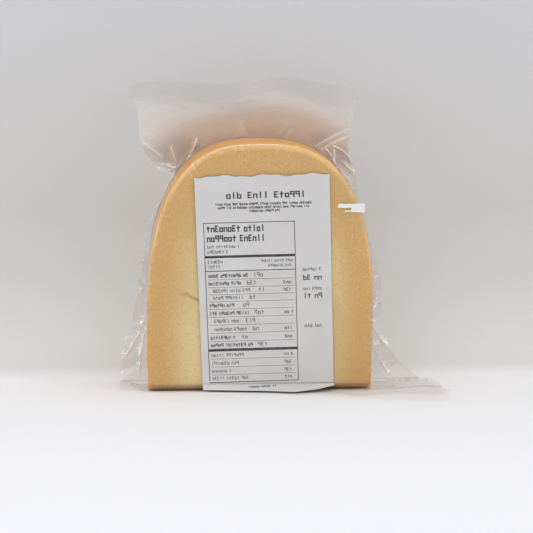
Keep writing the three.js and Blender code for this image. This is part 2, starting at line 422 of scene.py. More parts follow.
# The middle of the flap in side view, as (y, z), and the length along it.
fold = [
    (FOLD_AT + FOLD_RADIUS * math.sin(turn), FLAP_HEIGHT + FOLD_RADIUS * (1 - math.cos(turn)))
    for turn in np.linspace(0, math.pi / 2, 7)
]
flap_side = through(
    [(-60, FLAP_HEIGHT), (-20, FLAP_HEIGHT), (5, FLAP_HEIGHT), *fold]
    + [(9.76, 16), (9, 45), (7.5, 75), (6.8, 98), (10, 114), (20, 127), (35, 139.5)],
    SIDE_STEPS,
)
flap_run = np.concatenate(([0], np.cumsum(np.hypot(*np.diff(flap_side, axis=0).T))))
to_fold = slice(None, SIDE_STEPS * 4)
flap_run += FOLD_AT - np.interp(FOLD_AT, flap_side[to_fold, 0], flap_run[to_fold]) - RUN_START_Y
flap_slope = np.gradient(flap_side, flap_run, axis=0)


def on_flap(x, run, out):
    """Places on the flap: across, along its side view, and out on its front side."""
    y, z = (np.interp(run, flap_run, flap_side[:, i]) for i in range(2))
    along_y, along_z = (np.interp(run, flap_run, flap_slope[:, i]) for i in range(2))
    return np.stack((x, y - along_z * out, z + along_y * out), axis=-1)


# The weld's line round the wedge, as across and outward from the wheel's axis: up the left side, over the
# top, down the right side, and back along the bottom.
lowest = (underside - axis_height) / math.cos(HALF_ANGLE)
turns = np.linspace(math.pi, 0, ARCH_STEPS)
sine, cosine = np.sin(turns), np.cos(turns)
arch_x = (half_width + FILM_GAP) * np.sign(cosine) * np.abs(cosine) ** (2 / BULGE_EXPONENT)
arch_out = wheel_radius - bulge + (bulge + FILM_GAP) * np.abs(sine) ** (2 / BULGE_EXPONENT)
straight = np.linspace(lowest, wheel_radius - bulge, STRAIGHT_STEPS + 1)[:-1]
bottom_x = np.linspace(half_width + FILM_GAP, -half_width - FILM_GAP, BOTTOM_STEPS + 2)[1:-1]
left_x, right_x = (np.full(STRAIGHT_STEPS, x) for x in (arch_x[0], arch_x[-1]))
loop_x = np.concatenate((left_x, arch_x, right_x, bottom_x))
loop_out = np.concatenate((straight, arch_out, straight[::-1], np.full(BOTTOM_STEPS, lowest)))
is_bottom = np.arange(len(loop_x)) >= len(loop_x) - BOTTOM_STEPS
turn_back = np.full(len(loop_x), HALF_ANGLE * 0.9)
upright_y, upright_z = flap_side[UPRIGHT_FROM:].T
for _ in range(30):  # closer and closer to where the line meets the flap
    weld_y = np.interp(axis_height + loop_out * np.cos(turn_back), upright_z, upright_y)
    turn_back = np.arcsin(weld_y / loop_out)
weld_z = np.where(is_bottom, underside, axis_height + loop_out * np.cos(turn_back))
weld_y = np.where(is_bottom, FOLD_AT + 1.5, weld_y)
weld_run = np.where(is_bottom, 1.4, np.interp(weld_z, upright_z, flap_run[UPRIGHT_FROM:]))

# The pouch's cut edge, as pairs: a place on the weld's line, then the place on the edge that it reaches.
edge_pairs = [
    ((-49.8, 1.4), (-62.0, -6)), ((-49.8, 14), (-61.8, 10)), ((-49.8, 24), (-60.5, 21)),
    ((-49.7, 36), (-56.5, 33)), ((-49.2, 50), (-53.6, 50)), ((-47, 66), (-51, 67)),
    ((-43.2, 80), (-46.8, 81)), ((-37.5, 91), (-40.2, 92)), ((-33.6, 96), (-37.6, 98)),
    ((-31.5, 98.5), (-45, 100.5)), ((-28, 102), (-51.5, 111)), ((-22, 106.5), (-53.5, 128)),
    ((-17, 109), (-54, 147)), ((0, 112), (-4, 149)), ((17, 109), (45, 147)),
    ((22, 106.5), (44.5, 131)), ((26, 104), (41.5, 114)), ((30, 100.5), (41.2, 105)),
    ((34, 96), (43.6, 99.5)), ((37.5, 91), (44.6, 92)), ((42, 82.5), (46.2, 82)),
    ((46, 70), (51.6, 66)), ((49.2, 50), (56, 50)), ((49.7, 36), (56, 37)),
    ((49.8, 27), (53, 27.5)), ((49.8, 23), (57.5, 25)), ((49.8, 15), (63, 14)),
    ((49.8, 6), (74, 4)), ((49.8, 1.4), (80, -6)), ((44, 1.4), (79.5, -28)),
    ((37, 1.4), (75, -50)), ((12, 1.4), (19, -31)), ((-20, 1.4), (-25, -20)),
    ((-44, 1.4), (-59, -16)),
]  # fmt: skip
loop_steps = np.hypot(np.diff(loop_x, append=loop_x[0]), np.diff(weld_run, append=weld_run[0]))
loop_length = np.concatenate(([0], np.cumsum(loop_steps)))
total_length = loop_length[-1]
reached = []
for (x, run), (edge_x, edge_run) in edge_pairs:
    at = loop_length[np.argmin(np.hypot(loop_x - x, weld_run - run))]
    if not reached and at > total_length / 2:
        at -= total_length
    reached.append((at, edge_x, edge_run))
around = [(reached[-1][0] - total_length, *reached[-1][1:])] + reached
around += [(total_length + reached[0][0], *reached[0][1:]), (total_length + reached[1][0], *reached[1][1:])]
cut_edge = through(around, 40)
edge_x, edge_run = (np.interp(loop_length[:-1], cut_edge[:, 0], cut_edge[:, i]) for i in (1, 2))

# The rays stand evenly along the weld's line and the cut edge together.
edge_steps = np.hypot(np.diff(edge_x, append=edge_x[0]), np.diff(edge_run, append=edge_run[0]))
spread = np.concatenate(([0], np.cumsum(loop_steps * 0.6 + edge_steps * 0.4)))
ray_at = np.interp(np.arange(RAYS) / RAYS * spread[-1], spread, loop_length)


def on_rays(values):
    """Values of the weld's line, at the rays."""
    return np.interp(ray_at, loop_length, np.append(values, values[0]))


ray_x, ray_out, ray_turn = on_rays(loop_x), on_rays(loop_out), on_rays(turn_back)
ray_weld = np.stack((ray_x, on_rays(weld_y), on_rays(weld_z)), axis=-1)
ray_run, ray_edge_x, ray_edge_run = on_rays(weld_run), on_rays(edge_x), on_rays(edge_run)
ray_bottom = on_rays(is_bottom.astype(float)) > 0.5
flap_length = np.hypot(ray_edge_x - ray_x, ray_edge_run - ray_run)

# Creases that start at the weld and run out over the flap, and a little way back over the skin.
chance = np.random.default_rng(11)
CREASES = 150
creases = {
    "start": chance.uniform(0, total_length, CREASES),
    "width": chance.uniform(0.9, 3.6, CREASES),
    "height": chance.uniform(0.15, 1.0, CREASES) * chance.choice((-1, 1), CREASES),
    "drift": chance.normal(0, 0.35, CREASES),
    "reach": chance.uniform(3, 34, CREASES),
    "skin_reach": chance.uniform(1.5, 9, CREASES) * chance.choice((0.25, 1), CREASES, p=(0.6, 0.4)),
}

# Short wrinkles that cross the edges of the cut faces, where the film is drawn over them.
WRINKLES = 110
wrinkles = {
    "start": chance.uniform(0, total_length, WRINKLES),
    "width": chance.uniform(0.5, 1.1, WRINKLES),
    "height": chance.uniform(0.08, 0.3, WRINKLES),
    "drift": chance.normal(0, 0.6, WRINKLES),
    "reach": chance.uniform(1.2, 5.5, WRINKLES),
    "middle": chance.uniform(-2.0, 1.5, WRINKLES),
}

# Sharp folds where the film gathers at the wedge's shoulders and at the foot, as (x, z) seen from the front.
sharp_folds = [
    [(-50.7, 109), (-47.6, 106.6), (-42.3, 102.8)],
    [(-38.6, 107), (-37.4, 103.6), (-36.2, 100.6)],
    [(-31.4, 101.5), (-29, 106), (-27, 110.8)],
    [(-41.2, 87), (-38.6, 92), (-36.6, 96)],
    [(-36.8, 98.4), (-41, 99.6), (-45, 100.6)],
    [(34.5, 106), (34.7, 103), (34.2, 99.5)],
    [(34.3, 108), (38, 106), (40.7, 103.5), (42.6, 100)],
    [(38.8, 100.2), (42.4, 96.4)],
    [(37, 95.8), (41.6, 91.5)],
    [(31, 106.5), (33.2, 103.4), (36.4, 97.6)],
    [(52.6, 28.5), (56.8, 25), (62, 24)],
    [(51.5, 30), (54, 38), (53.5, 47)],
    [(52.2, 26.6), (58, 18), (68, 7.5)],
    [(51.2, 24), (54.5, 14), (60, 4)],
    [(-51, 30), (-54.5, 22), (-59.5, 14)],
    [(-50.5, 27), (-53, 14), (-54, 4)],
]  # fmt: skip

# Folds in the part that lies on the table, as (x, y).
lying_folds = [
    [(33.5, -12.6), (44, -14.4), (53, -14.2), (61, -16.5), (70, -18.4), (78.5, -23)],
    [(53, -5), (55, -8.5), (59.5, -11)],
    [(-52, -5), (-56, -11), (-60, -14)],
]


def fold_nearness(folds, x, z, width):
    """1 on a sharp fold, down to 0 at a width from it."""
    away = np.minimum.reduce([distance_to(line, x, z) for line in folds])
    return np.clip(1 - away / width, 0, 1)


FACE_RINGS = (
    0.3, 0.46, 0.57, 0.64, 0.69, 0.73, 0.77, 0.8, 0.83, 0.855, 0.88, 0.9, 0.918, 0.935, 0.951, 0.966, 0.98,
)  # fmt: skip
ROUND_RINGS = 5
RIND_RINGS = 18
BRIDGE_RINGS = 4
FLAP_RINGS = 52
SKIN_RINGS = len(FACE_RINGS) + ROUND_RINGS + 1 + RIND_RINGS + BRIDGE_RINGS
FACE_MIDDLE = (2.0, 116.0)  # across and outward, under the label
ROUND_REACH = 1.3  # of the rounding over an edge, to each side
FOOT_REACH = 2.9  # of the rounding over the crushed lower front edge
BRIDGE_REACH = 1.1  # from the skin to the weld
WELD_WIDTH = 1.2
LOWEST_FILM = 0.14  # of the lower sheet, where it lies on the table
CROWN_REACH, CROWN_RUN = 24, 90  # to each side of the middle, and from this length of the flap upwards
HALO_ON_SKIN, HALO_ON_FLAP = 9, 16  # how slowly the painted halo, a brown tint for the rind's reflection and shade, fades away from the weld


def on_wheel(x, out, turn):
    """Places across, and outward from the wheel's axis at a turn back from upright."""
    return np.stack((x, out * np.sin(turn), axis_height + out * np.cos(turn)), axis=-1)


def curve(first, control, last, part):
    """Places on a curve from first to last that is drawn towards control."""
    return first * (1 - part) ** 2 + control * 2 * part * (1 - part) + last * part**2


def along_flap(past):
    """Across and along the flap, at a distance past the weld on each ray."""
    part = past / np.maximum(flap_length, 1e-6)
    return ray_x + (ray_edge_x - ray_x) * part, ray_run + (ray_edge_run - ray_run) * part


def smooth_sheet(side):
    """One sheet while it is smooth, in rings from its middle outwards.

    Returns its middle, the rings' places, how far each place is past the weld, how far the weld is from the
    cut face's edge, and how far across and along the flap its rings are.
    """
    lean = side * HALF_ANGLE
    face_out = FILM_GAP * np.array((0, side * math.cos(HALF_ANGLE), -math.sin(HALF_ANGLE)))

    def on_face(part):
        """Places on the cut face, at a part of the way from its middle to its outline."""
        x = FACE_MIDDLE[0] + (ray_x - FACE_MIDDLE[0]) * part
        out = FACE_MIDDLE[1] + (ray_out - FACE_MIDDLE[1]) * part
        return on_wheel(x, out, np.full(RAYS, lean)) + face_out

    corner = on_face(1)
    ray_length = np.hypot(ray_x - FACE_MIDDLE[0], ray_out - FACE_MIDDLE[1])
    rind_depth = np.abs(ray_turn - lean) * ray_out
    depth = np.where(ray_bottom, np.abs(ray_weld[:, 1] - corner[:, 1]), rind_depth)
    reach = np.minimum(np.where(ray_bottom & (side < 0), FOOT_REACH, ROUND_REACH), depth * 0.3)
    bridge = np.minimum(BRIDGE_REACH, depth * 0.3)
    weld = np.minimum(WELD_WIDTH, flap_length * 0.3)

    def on_rind(length):
        """Places on the rind or the underside, at a length from the corner towards the weld."""
        part = length / np.maximum(depth, 1e-6)
        sides = on_wheel(ray_x, ray_out, lean + (ray_turn - lean) * part)
        under = corner + (ray_weld - corner) * part[:, None]
        return np.where(ray_bottom[:, None], under, sides)

    face_end = 1 - reach / ray_length
    rings = []  # (places, how far they are past the weld)
    for part in FACE_RINGS:
        rings.append((on_face(np.minimum(part, face_end)), -(depth + ray_length * (1 - part))))
    first, last = on_face(face_end), on_rind(reach)
    for part in np.linspace(0, 1, ROUND_RINGS + 1):
        rings.append((curve(first, corner, last, part), -(depth + reach * (1 - 2 * part))))
    for i in range(1, RIND_RINGS + 1):
        length = reach + (depth - reach - bridge) * i / RIND_RINGS
        rings.append((on_rind(length), length - depth))
    first, last = rings[-1][0], on_flap(*along_flap(weld), -side * SHEET_GAP)
    for part in np.linspace(0, 1, BRIDGE_RINGS + 1)[1:]:
        rings.append((curve(first, (ray_weld + last) / 2, last, part), (part - 1) * bridge * 0.5))
    flap = []
    for i in range(1, FLAP_RINGS + 1):
        past = weld + (flap_length - weld) * i / FLAP_RINGS
        flap.append(along_flap(past))
        rings.append((on_flap(*flap[-1], -side * SHEET_GAP), past))
    places, past_weld = (np.array(values) for values in zip(*rings))
    flap_x, flap_v = (np.array(values) for values in zip(*flap))
    middle = on_wheel(*(np.array([value]) for value in (*FACE_MIDDLE, lean))) + face_out
    return middle, places, past_weld, depth, flap_x, flap_v


def round_from(start):
    """How far each ray is from a start, round the weld's line."""
    return (ray_at - start + total_length / 2) % total_length - total_length / 2


def creased(past_weld):
    """How far the creases lift the film, and how sharp they are."""
    lift, sharpness = np.zeros(past_weld.shape), np.zeros(past_weld.shape)
    outwards, inwards = np.maximum(past_weld, 0), np.maximum(-past_weld, 0)
    for start, width, height, drift, flap_reach, skin_reach in zip(*creases.values()):
        at_x, at_run = (np.interp(start, loop_length[:-1], line) for line in (loop_x, weld_run))
        if abs(at_x) < CROWN_REACH and at_run > CROWN_RUN:
            height, flap_reach = height * 0.4, flap_reach * 0.6
        away = np.abs(round_from(start) - drift * past_weld * 0.4)
        ridge = np.clip(1 - away / (width * (1 + outwards * 0.05)), 0, 1)
        fades = ramp(flap_reach - past_weld, 0, 5) * ramp(past_weld, 0, 2.5)
        fades = np.where(past_weld > 0, fades, 0)
        skin_fades = ramp(skin_reach - inwards, 0, skin_reach) * ramp(inwards, 0, 0.8)
        skin_fades = np.where(past_weld > 0, 0, skin_fades)
        lift += ridge * (height * fades + abs(height) * 0.3 * skin_fades)
        line = np.clip(1 - away / (0.55 + outwards * 0.012), 0, 1) * abs(height)
        sharpness = np.maximum(sharpness, line * (fades * 0.75 + skin_fades * 0.6))
    return lift, sharpness


def drawn_over_edge(past_edge, on_skin):
    """The same for the wrinkles over the cut face's edge, and the tight line that runs along it."""
    taut = 0.3 + 0.3 * np.sin(ray_at / 11 + 2) + 0.15 * np.sin(ray_at / 3.7)
    lift = np.zeros(past_edge.shape)
    sharpness = np.clip(1 - np.abs(past_edge + 0.2) / 0.9, 0, 1) * np.clip(taut, 0, 1) * on_skin
    for start, width, height, drift, reach, middle in zip(*wrinkles.values()):
        away = np.abs(round_from(start) - drift * past_edge)
        fades = np.clip(1 - np.abs(past_edge - middle) / reach, 0, 1) * on_skin
        lift += height * np.clip(1 - away / width, 0, 1) * fades
        sharpness = np.maximum(sharpness, 3.6 * height * np.clip(1 - away / 0.55, 0, 1) * fades)
    return lift, sharpness


def flap_waves(flap_x, flap_v, past_weld, lift):
    """How far the flap stands out with its creases' lift, and where it is upright and where it lies flat."""
    waves = 0.9 * np.sin(ray_at / 5.5 + 0.6 * np.sin(ray_at / 17)) * ramp(past_weld, 2, 12)
    waves += 1.5 * np.sin(flap_x / 9 + flap_v / 23) * ramp(past_weld, 5, 22)
    lift = lift + waves
    table_y = flap_v + RUN_START_Y
    clear_of_wedge = np.maximum(np.maximum(np.abs(flap_x) - 52, -12.5 - table_y), 0)
    upright = ramp(flap_v, 2, 9)
    under_label = ramp(34 - np.abs(flap_x - 3), 0, 4) * ramp(table_y, -27, -22)
    lying = ramp(clear_of_wedge, 0, 5) * (1 - upright) * (1 - 0.9 * under_label)
    curl = 2.6 * ramp(flap_x, 52, 80) * ramp(-table_y, 22, 42) + 1.4 * ramp(-flap_x, 50, 62)
    lifted = np.abs(lift) * 0.75 + 0.5 * ramp(clear_of_wedge, 2, 12) + curl
    return lift * upright + lifted * lying, upright, lying


def film_sheet(name, side):
    """One sheet of the pouch. side is -1 for the front sheet and 1 for the back sheet."""
    middle, places, past_weld, depth, flap_x, flap_v = smooth_sheet(side)
    skin, flap = slice(None, SKIN_RINGS), slice(SKIN_RINGS, None)
    on_skin = np.where(ray_bottom, 0, 1) * np.where(past_weld > 0, 0, 1)
    lift, sharpness = creased(past_weld)
    edge_lift, edge_sharpness = drawn_over_edge(past_weld + depth, on_skin)
    lift += edge_lift
    flap_lift, upright, lying = flap_waves(flap_x, flap_v, past_weld[flap], lift[flap])

    # In front, the film under the foot is pinched and hazy, with a bright line above it. The haze there also
    # gets a painted amber reflection of the cheese.
    x, z = places[..., 0], places[..., 2]
    under_foot = np.where(ray_bottom & (side < 0), 1, 0) * np.where(past_weld > 0, 0, 1)
    foot_haze_and_glow = ramp(3.4 - z, 0, 1.6) * ramp(-5 - places[..., 1], 0, 3) * under_foot
    foot_line = np.clip(1 - np.abs(z - 3.9) / 0.5, 0, 1) * under_foot
    sharpness = np.maximum.reduce((sharpness, edge_sharpness, 0.2 * foot_haze_and_glow, 0.6 * foot_line))

    # The sharp folds are in the flap, and in the skin near the front face and near the weld.
    inwards = np.maximum(-past_weld, 0)
    behind_face = places[..., 1] + (z - axis_height) * math.tan(HALF_ANGLE)
    by_fold = np.maximum(ramp(4 - behind_face, 0, 2.5), ramp(3 - inwards, 0, 1.5))
    by_fold[flap] = 1
    fold_lift = fold_nearness(sharp_folds, x, z, 1.5)
    if side < 0:
        lift[skin] += 0.4 * (fold_lift * by_fold)[skin]
        sharpness = np.maximum(sharpness, fold_nearness(sharp_folds, x, z, 0.62) * by_fold)
    lying_lift = fold_nearness(lying_folds, flap_x, flap_v + RUN_START_Y, 2.2) * lying
    lying_line = fold_nearness(lying_folds, flap_x, flap_v + RUN_START_Y, 0.7) * lying
    flap_lift += 0.9 * fold_lift[flap] * upright + 1.1 * lying_lift
    sharpness[flap] = np.maximum(sharpness[flap], 0.7 * lying_line)

    # The pouch's cut edge catches the light, less so above the wedge.
    rim = ramp(past_weld[flap] - flap_length, -0.7, 0)
    sharpness[flap] = np.maximum(sharpness[flap], (0.45 - 0.35 * ramp(flap_v, 105, 135)) * rim)

    across_step = np.roll(places, -1, axis=1) - np.roll(places, 1, axis=1)
    normal = np.cross(across_step, np.gradient(places, axis=0)) * -side
    normal /= np.maximum(np.linalg.norm(normal, axis=2, keepdims=True), 1e-9)
    lift[skin] *= np.where(ray_bottom, 0, 1) * ramp(z[skin], 2, 8)
    places[skin] += normal[skin] * np.maximum(lift[skin], 0)[..., None]
    places[flap] = on_flap(flap_x, flap_v, flap_lift - side * SHEET_GAP)
    places[..., 2] = np.maximum(places[..., 2], LOWEST_FILM + (2 * SHEET_GAP if side < 0 else 0))

    # Painted reflection and shade: the film over the crown is tinted brown for the orange rind's glow and
    # its shade, and a little amber at the foot.
    painted_halo = 0.8 * foot_haze_and_glow
    skin_halo = 0.9 * np.exp(-inwards[skin] / HALO_ON_SKIN) * ramp(places[skin, :, 2], 55, 100)
    flap_halo = np.exp(-past_weld[flap] / HALO_ON_FLAP) * ramp(flap_v, 94, 108)
    painted_halo = np.maximum(painted_halo, np.concatenate((skin_halo, flap_halo)))

    vertices = np.vstack((middle, places.reshape(-1, 3))) * MM
    ring, ray = np.meshgrid(np.arange(len(places) - 1), np.arange(RAYS), indexing="ij")
    inner, outer, after = 1 + ring * RAYS, 1 + (ring + 1) * RAYS, (ray + 1) % RAYS
    quads = np.stack((inner + ray, outer + ray, outer + after, inner + after), axis=-1)
    fan = [(0, 1 + i, 1 + (i + 1) % RAYS) for i in range(RAYS)]
    mesh = bpy.data.meshes.new(name)
    mesh.from_pydata(vertices.tolist(), [], fan + quads.reshape(-1, 4).tolist())
    for attribute, values in (("crease", np.clip(sharpness, 0, 1)), ("painted_halo", painted_halo)):
        made = mesh.attributes.new(attribute, "FLOAT", "POINT")
        made.data.foreach_set("value", np.concatenate(([0], values.ravel())))
    sheet = bpy.data.objects.new(name, mesh)
    bpy.context.collection.objects.link(sheet)
    bpy.context.view_layer.objects.active = sheet
    start_piece()
    sheet.select_set(True)
    bpy.ops.object.mode_set(mode="EDIT")
    bpy.ops.mesh.select_all(action="SELECT")
    bpy.ops.mesh.normals_make_consistent(inside=False)
    bpy.ops.object.mode_set(mode="OBJECT")
    face = min(mesh.polygons, key=lambda p: (p.center - Vector(vertices[0])).length)
    if face.normal.y * side < 0:
        mesh.flip_normals()
    bpy.ops.object.shade_smooth_by_angle(angle=math.radians(50))
    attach(sheet, "root")
    return sheet


front_sheet = film_sheet("pouch_front_sheet", -1)
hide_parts("bag_front_film")
back_sheet = film_sheet("pouch_back_sheet", 1)
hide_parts("bag_back_film")

clear_film = new_material("clear_film")
crease = Wire.out("Fac", "Attribute", {"attribute_name": "crease"})
facing = Wire.out("Facing", "LayerWeight", None, {"Blend": 0.5})
gloss = 0.03 + 0.16 * facing**5
painted_halo = Wire.out("Fac", "Attribute", {"attribute_name": "painted_halo"})
haze = crease.between(0.02, 0.9) * 0.42 + 0.005 + painted_halo * 0.38
clear_part = Wire.node("BsdfTransparent", None, {"Color": (0.968, 0.96, 0.952, 1)})
ripples = Wire.out(
    "Fac", "TexNoise", None, {"Vector": Wire.out("Object", "TexCoord"), "Scale": 170, "Detail": 4}
)
film_bump = Wire.out(0, "Bump", None, {"Strength": 0.35, "Distance": 0.0012, "Height": ripples})
# Painted reflection and shade: where the halo is, the film's gloss is tinted brown and the film is less
# clear.
halo_tint = painted_halo.between(0.0, 0.5) * (1 - crease)
gloss_part = Wire.node(
    "BsdfPrincipled",
    None,
    {
        "Base Color": Wire.mix(halo_tint, (0.97, 0.97, 0.96, 1), (0.46, 0.22, 0.065, 1)),
        "Metallic": 1.0,
        "Roughness": crease * 0.3 + painted_halo * 0.4 + 0.13,
        "Normal": film_bump,
    },
)
seen = Wire.math("ADD", gloss, haze, clamp=True)
film_parts = {0: seen, 1: Wire(clear_part.outputs[0]), 2: Wire(gloss_part.outputs[0])}
surface(Wire.out(0, "MixShader", None, film_parts))
for sheet in (front_sheet, back_sheet):
    sheet.data.materials.append(clear_film)

# ---------------------------------------------------------------------------------------------------------
# The label: coated paper from a scale's roll, torn off at its top, stuck on the front sheet a little askew.
# It runs off the wedge's foot, and its end lies on the flap. The printing is greeked marks. Millimetres.

LABEL_WIDTH = 58
LABEL_MIDDLE = 1.8
LABEL_TILT = math.radians(1.3)
LABEL_SKEW = 0.016  # of the paper, which was drawn tight as it was stuck
LABEL_OUT = 0.62  # of the paper's back from the cheese
FOOT_HEIGHT = 4.2  # of the label's crease, at the wedge's lower front edge
CREASE_LENGTH = 1.3
CREASE_HEIGHT = 3.2
CREASE_Y = -11.05
PAPER_THICKNESS = 0.1
INK_THICKNESS = 0.012
label_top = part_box("label")[1].z / MM
face_length = (label_top - FOOT_HEIGHT) / math.cos(HALF_ANGLE)
foot_y = -(FOOT_HEIGHT - axis_height) * math.tan(HALF_ANGLE) - LABEL_OUT / math.cos(HALF_ANGLE)
# The tail's end, as (across, y, z): it rests on the flap and rises at the right.
tail_ends = np.array([
    (-30, -12.0, 0.8), (-25, -12.4, 0.8), (-2, -15.6, 0.8),
    (11, -19.0, 0.8), (21, -16.6, 1.5), (30, -12.4, 2.7),
])  # fmt: skip


def label_side(x, run):
    """Side view of the label's back: down the cut face, into a crease at its foot, and out over the flap."""
    on_face = np.maximum(run, 0)
    creased = np.clip(-run / CREASE_LENGTH, 0, 1)
    end_y, end_z = (np.interp(x, tail_ends[:, 0], tail_ends[:, i]) for i in (1, 2))
    tail_length = np.hypot(end_y - CREASE_Y, end_z - CREASE_HEIGHT)
    tail = np.clip((-run - CREASE_LENGTH) / tail_length, 0, 1)
    y = foot_y - on_face * math.sin(HALF_ANGLE) - 0.4 * np.exp(-on_face / 2.2)
    z = FOOT_HEIGHT + on_face * math.cos(HALF_ANGLE)
    y = y + (CREASE_Y - y) * creased**2 * (3 - 2 * creased)
    z = z + (CREASE_HEIGHT - z) * creased
    y = y + (end_y - CREASE_Y) * tail
    z = z + (end_z - CREASE_HEIGHT) * tail + 0.3 * np.sin(math.pi * tail)
    return y, z, tail_length


def on_label(x, up, out=0.0):
    """Places on the label: across from its middle, up from the wedge's foot, and out from its back."""
    x, up = np.asarray(x, float), np.asarray(up, float)
    middle = face_length / 2
    turned_x = x * math.cos(LABEL_TILT) - (up - middle) * math.sin(LABEL_TILT)
    run = x * math.sin(LABEL_TILT) + (up - middle) * math.cos(LABEL_TILT) + middle
    cockle = 0.09 * np.sin(x / 6.3 + run / 21) * np.sin(run / 11 + x / 37)
    cockle += 0.05 * np.sin(x / 2.9 - run / 8)
    out = out + (cockle + 0.1) * ramp(run, 0, 12)
    y, z, _ = label_side(x, run)
    next_y, next_z, _ = label_side(x, run + 0.05)
    last_y, last_z, _ = label_side(x, run - 0.05)
    step_y, step_z = next_y - last_y, next_z - last_z
    length = np.maximum(np.hypot(step_y, step_z), 1e-6)
    turned_x = turned_x - (run - middle) * LABEL_SKEW
    x = LABEL_MIDDLE + turned_x
    return np.stack((x, y - out * step_z / length, z + out * step_y / length), axis=-1)


def move_vertices(piece, places):
    """Moves a piece's vertices to places in millimetres."""
    for vertex, spot in zip(piece.data.vertices, places):
        vertex.co = Vector(spot) * MM


start_piece()
bpy.ops.mesh.primitive_grid_add(x_subdivisions=116, y_subdivisions=190, size=2)
label = bpy.context.object
label.name = "scale_label"
grid = np.array([vertex.co[:2] for vertex in label.data.vertices])
label_x = grid[:, 0] * LABEL_WIDTH / 2
torn = 0.42 * np.sin(label_x * 0.33 + 0.8) + 0.22 * np.sin(label_x * 0.83 + 2) + 0.08 * np.sin(label_x * 2.9)
torn_top = face_length - 0.4 + torn
tail_end = -CREASE_LENGTH - label_side(label_x, 0 * label_x)[2] * 0.999 - label_x * math.sin(LABEL_TILT)
part = (grid[:, 1] + 1) / 2
foot_part = 0.14  # of the grid's rows, which are below the wedge's foot
up = np.where(
    part > foot_part,
    (part - foot_part) / (1 - foot_part) * torn_top,
    tail_end * (1 - part / foot_part),
)
move_vertices(label, on_label(label_x, up))
bpy.ops.object.mode_set(mode="EDIT")
bpy.ops.mesh.select_all(action="SELECT")
bpy.ops.mesh.normals_make_consistent(inside=False)
bpy.ops.object.mode_set(mode="OBJECT")
if label.data.polygons[len(label.data.polygons) // 2].normal.y > 0:
    label.data.flip_normals()
modify(label, "SOLIDIFY", thickness=PAPER_THICKNESS * MM, offset=1)
bpy.ops.object.shade_smooth_by_angle(angle=math.radians(40))
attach(label, "root")
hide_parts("label")
label.data.materials.append(new_material("label_paper"))
place = Wire.out("Object", "TexCoord")
fibres = Wire.out("Fac", "TexNoise", None, {"Vector": place, "Scale": 1800, "Detail": 4})
clouds = Wire.out("Fac", "TexNoise", None, {"Vector": place, "Scale": 70, "Detail": 2})
paper_colour = Wire.mix(clouds.between(0.35, 0.7), (0.68, 0.672, 0.66, 1), (0.645, 0.634, 0.618, 1))
paper_bump = Wire.out(0, "Bump", None, {"Strength": 0.12, "Distance": 0.0001, "Height": fibres})
label_shader = Wire.node(
    "BsdfPrincipled",
    None,
    {"Base Color": paper_colour, "Roughness": 0.5, "Normal": paper_bump},
)
surface(Wire(label_shader.outputs[0]))

# The printing, laid on the paper as thin marks. Places are across from the label's left edge and down from
# its torn edge. A letter is one of a few plain marks, of upright and level strokes.

letter_marks = (
    ((0.3, 0, 0.5, 1),),
    ((0, 0, 0.2, 0.7), (0.6, 0, 0.8, 0.7), (0, 0.56, 0.8, 0.7)),
    ((0, 0, 0.2, 0.7), (0.6, 0, 0.8, 0.7), (0, 0, 0.8, 0.14), (0, 0.56, 0.8, 0.7)),
    ((0, 0, 0.2, 1), (0, 0, 0.7, 0.14), (0, 0.43, 0.6, 0.57), (0, 0.86, 0.7, 1)),
    ((0.28, 0, 0.48, 0.95), (0.05, 0.56, 0.75, 0.7)),
    ((0, 0, 0.2, 1), (0.6, 0, 0.8, 0.56), (0, 0, 0.8, 0.14), (0, 0.5, 0.8, 0.64)),
    ((0, 0.5, 0.2, 1), (0.6, 0, 0.8, 1), (0, 0.86, 0.8, 1), (0, 0.43, 0.8, 0.57)),
)
PRINT_STRETCH = 1.028  # down the label
marks = []  # (left, down from the top, right, down to the foot)
words = random.Random(4)


def rule(left, right, down, thickness):
    marks.append((left, down - thickness / 2, right, down + thickness / 2))


def writing(left, right, down, height, boldness=1.4, word=(3, 8), gap=0.75):
    """A line of greeked words whose middle is at a place down the label."""
    pitch = height * 0.78 * gap / 0.75
    at, letters = left, words.randint(*word)
    while at + pitch * 0.8 < right:
        if letters == 0:
            at += pitch * 0.7
            letters = words.randint(*word)
            continue
        for x1, y1, x2, y2 in words.choice(letter_marks):
            grow = (boldness - 1.25) * 0.055 * height
            marks.append(
                (
                    at + x1 * pitch - grow,
                    down + height / 2 - y2 * height - grow,
                    at + x2 * pitch + grow,
                    down + height / 2 - y1 * height + grow,
                )
            )
        at += pitch
        letters -= 1


writing(13.4, 20.4, 8.6, 2.6, 1.9, (3, 3), 0.85)
writing(22.6, 31.8, 8.6, 2.6, 1.9, (4, 4), 0.85)
writing(34.0, 47.4, 8.6, 2.6, 1.9, (6, 6), 0.85)
writing(8.6, 51.0, 12.3, 1.0, 2.2)
writing(9.6, 49.0, 13.8, 1.0, 2.2)
writing(23.0, 36.5, 15.3, 1.0, 2.2)

